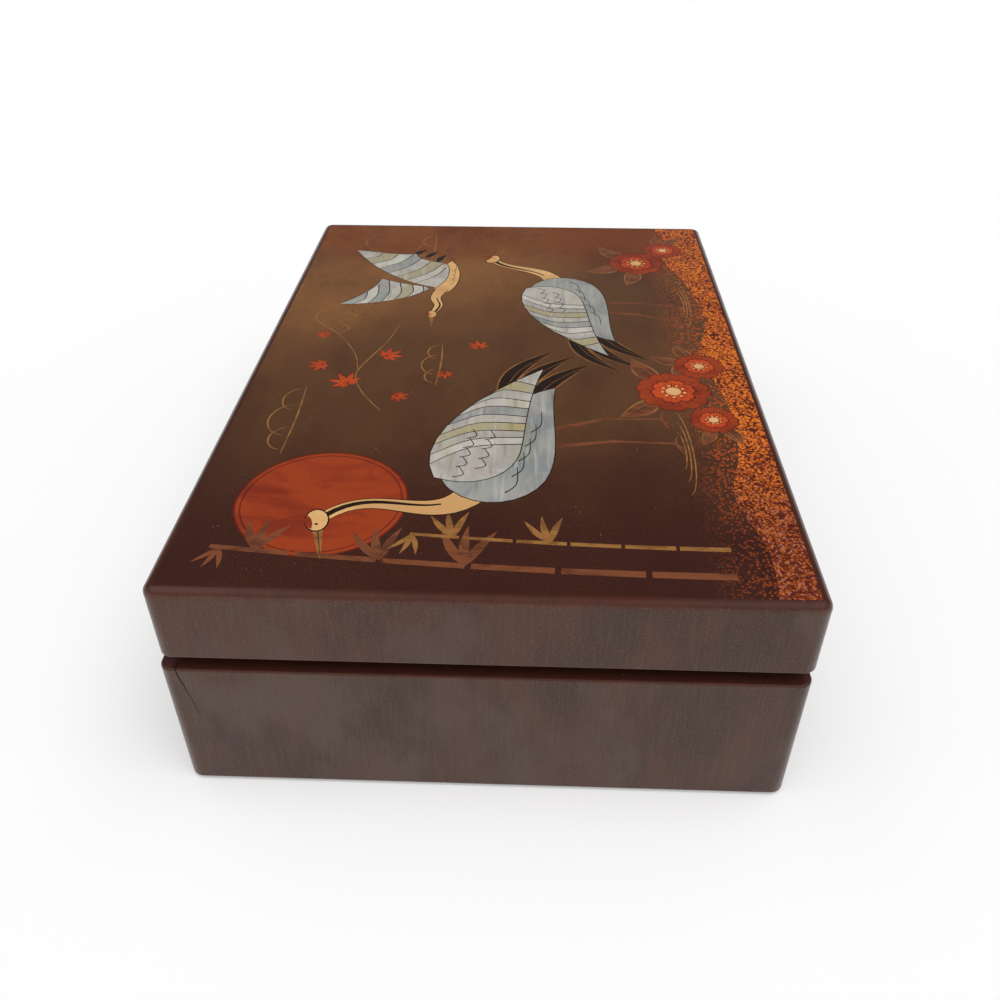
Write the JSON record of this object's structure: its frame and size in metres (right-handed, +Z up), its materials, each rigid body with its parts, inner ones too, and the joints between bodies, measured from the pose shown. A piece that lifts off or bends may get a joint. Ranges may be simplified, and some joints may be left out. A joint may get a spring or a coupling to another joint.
{
  "type": "lacquer jewelry box",
  "caption": "Low rectangular wooden box in polished dark lacquer with a shell-inlaid hinged lid, a mirror, padded compartments and a sliding ring tray.",
  "frame": {"origin": "middle of the underside, on the surface that the box stands on", "axes": "+X along the box, +Y towards the hinges, +Z up"},
  "size_m": [0.26, 0.178, 0.0762],
  "materials": {
    "lacquer": "high-gloss polished dark brown lacquer over wood, with painted and inlaid picture on the lid",
    "inner_lacquer": "satin black-brown lacquer over thin wood boards",
    "felt": "pressed wool felt",
    "velvet_pad": "deep red cotton velvet over soft padding",
    "tray_velvet": "thin boards covered in deep red velvet",
    "lining": "velvet-covered card",
    "mirror": "silvered glass",
    "brass": "lightly tarnished brass",
    "shell": "grey-white mother-of-pearl, polished level with the lacquer"
  },
  "bodies": {
    "base": {"base_front_wall": "lacquer", "liner_front": "inner_lacquer", "base_back_wall": "lacquer", "liner_back": "inner_lacquer", "base_left_wall": "lacquer", "liner_left": "inner_lacquer", "base_right_wall": "lacquer", "liner_right": "inner_lacquer", "base_floor": "inner_lacquer", "base_felt": "felt", "floor_pad": "velvet_pad", "cross_divider": "tray_velvet", "long_divider": "tray_velvet", "runner_front": "inner_lacquer", "runner_back": "inner_lacquer", "base_hinge_leaf_left": "brass", "hinge_pin_left": "brass", "base_hinge_leaf_right": "brass", "hinge_pin_right": "brass", "base_screw_left_a": "brass", "base_screw_left_b": "brass", "base_screw_right_a": "brass", "base_screw_right_b": "brass"},
    "lid": {"lid_front_rail": "lacquer", "mirror_front_bead": "inner_lacquer", "lid_back_rail": "lacquer", "mirror_back_bead": "inner_lacquer", "lid_left_rail": "lacquer", "mirror_left_bead": "inner_lacquer", "lid_right_rail": "lacquer", "mirror_right_bead": "inner_lacquer", "lid_panel": "lacquer", "lid_lining": "lining", "mirror": "mirror", "lid_hinge_leaf_left": "brass", "lid_hinge_leaf_right": "brass", "lid_screw_left_a": "brass", "lid_screw_left_b": "brass", "lid_screw_right_a": "brass", "lid_screw_right_b": "brass", "shell_tall_crane_body": "shell", "shell_tall_crane_wing": "shell", "shell_low_crane_body": "shell", "shell_low_crane_wing": "shell", "shell_flying_crane_near_wing": "shell", "shell_flying_crane_far_wing": "shell"},
    "tray": {"tray_floor": "tray_velvet", "tray_front": "tray_velvet", "tray_back": "tray_velvet", "tray_left": "tray_velvet", "tray_right": "tray_velvet", "tray_divider": "tray_velvet", "tray_pad": "velvet_pad", "ring_roll_1": "velvet_pad", "ring_roll_2": "velvet_pad", "ring_roll_3": "velvet_pad", "ring_roll_4": "velvet_pad"}
  },
  "joints": [
    {"name": "lid_hinge", "type": "hinge", "parent": "base", "child": "lid", "pos_m": [0, 0.0867, 0.0499], "axis": [-1, 0, 0], "range_deg": [0, 110]},
    {"name": "tray_slide", "type": "slide", "parent": "base", "child": "tray", "axis": [1, 0, 0], "range_m": [0, 0.119]}
  ]
}
